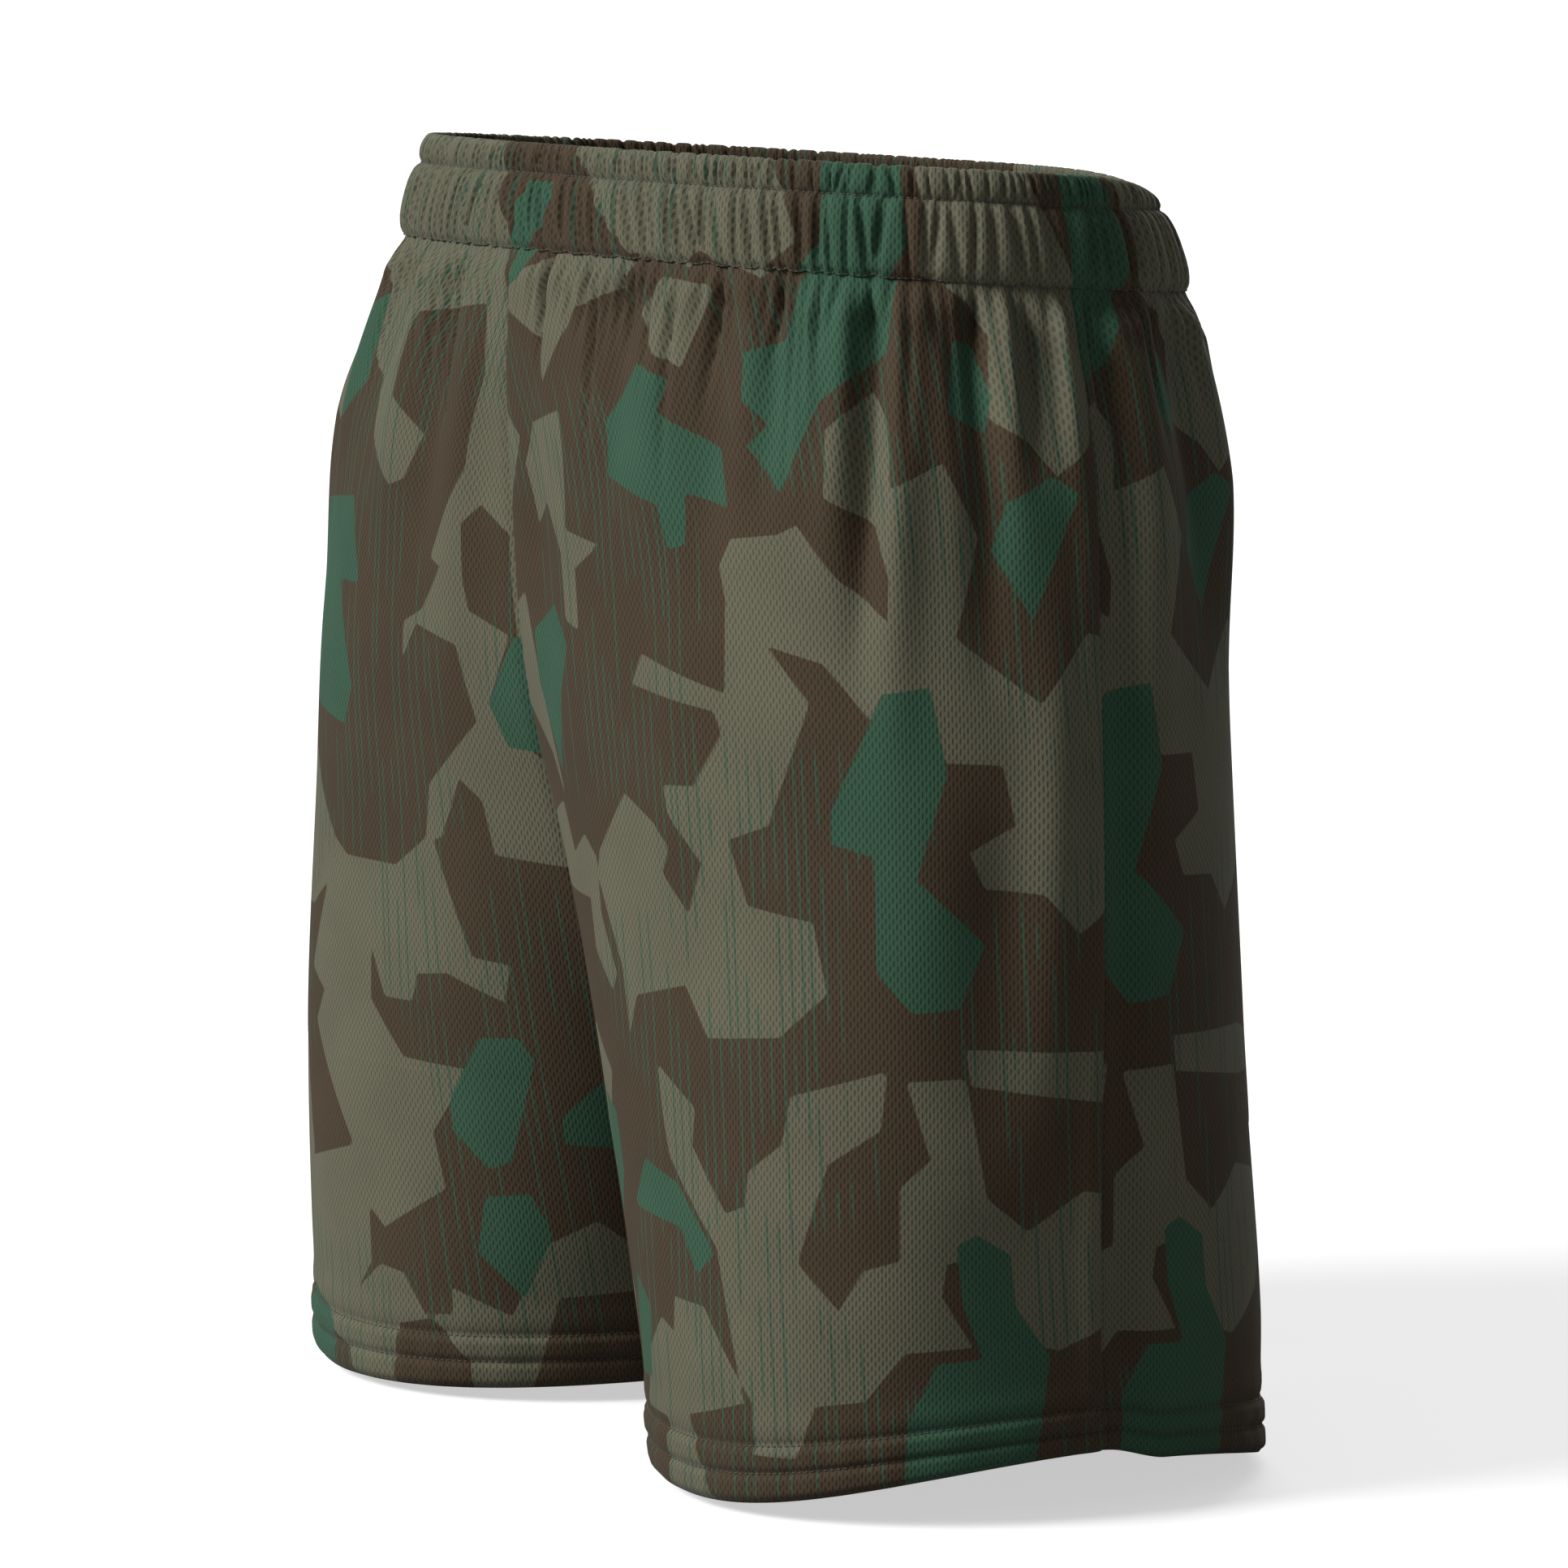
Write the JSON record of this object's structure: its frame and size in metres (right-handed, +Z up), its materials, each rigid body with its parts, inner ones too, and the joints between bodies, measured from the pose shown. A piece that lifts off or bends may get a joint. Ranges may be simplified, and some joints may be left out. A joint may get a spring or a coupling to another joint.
{
  "type": "sports shorts",
  "caption": "Knee-length mesh sports shorts in splinter camouflage, with a gathered elastic waistband, side pockets and double-stitched hems, shown as worn.",
  "frame": {"origin": "centre of the waist opening, level with the middle of the waistband's top edge", "axes": "+Z up out of the waist, -Y towards the front, +X towards the wearer's left"},
  "size_m": [0.5072, 0.2635, 0.5169],
  "materials": {
    "camo_mesh": "matte knitted mesh printed with hard-edged camouflage in khaki grey, brown and green",
    "camo_waistband": "the same mesh, gathered into fine ruffles",
    "elastic": "ribbed woven elastic webbing",
    "seam_allowance": "overlocked fabric edge",
    "pocket_mesh": "matte knitted mesh",
    "thread": "matte polyester sewing thread",
    "label_satin": "satin-woven ribbon, blank"
  },
  "bodies": {
    "shorts": {"front_panel_left": "camo_mesh", "back_panel_left": "camo_mesh", "side_seam_left": "seam_allowance", "inseam_left": "seam_allowance", "hem_left": "camo_mesh", "hem_stitch_lower_left": "thread", "hem_stitch_upper_left": "thread", "front_panel_right": "camo_mesh", "back_panel_right": "camo_mesh", "side_seam_right": "seam_allowance", "inseam_right": "seam_allowance", "hem_right": "camo_mesh", "hem_stitch_lower_right": "thread", "hem_stitch_upper_right": "thread", "centre_front_seam": "seam_allowance", "centre_back_seam": "seam_allowance", "waistband_front": "camo_waistband", "waistband_back": "camo_waistband", "waistband_elastic": "elastic", "header_stitch": "thread", "waist_seam_stitch": "thread"},
    "left_pocket": {"pocket_outer_left": "pocket_mesh", "pocket_inner_left": "pocket_mesh"},
    "right_pocket": {"pocket_outer_right": "pocket_mesh", "pocket_inner_right": "pocket_mesh"},
    "label": {"care_label": "label_satin"}
  },
  "joints": [
    {"name": "left_pocket_swing", "type": "hinge", "parent": "shorts", "child": "left_pocket", "pos_m": [0.2057, 0.00145, -0.062], "axis": [0.2187, -0.0677, -0.9734], "range_deg": [0, 30]},
    {"name": "right_pocket_swing", "type": "hinge", "parent": "shorts", "child": "right_pocket", "pos_m": [-0.2057, 0.00145, -0.062], "axis": [0.2187, 0.0677, 0.9734], "range_deg": [0, 30]},
    {"name": "label_flip", "type": "hinge", "parent": "shorts", "child": "label", "pos_m": [0, 0.11646, -0.05339], "axis": [-1, 0, 0], "range_deg": [0, 80]}
  ]
}
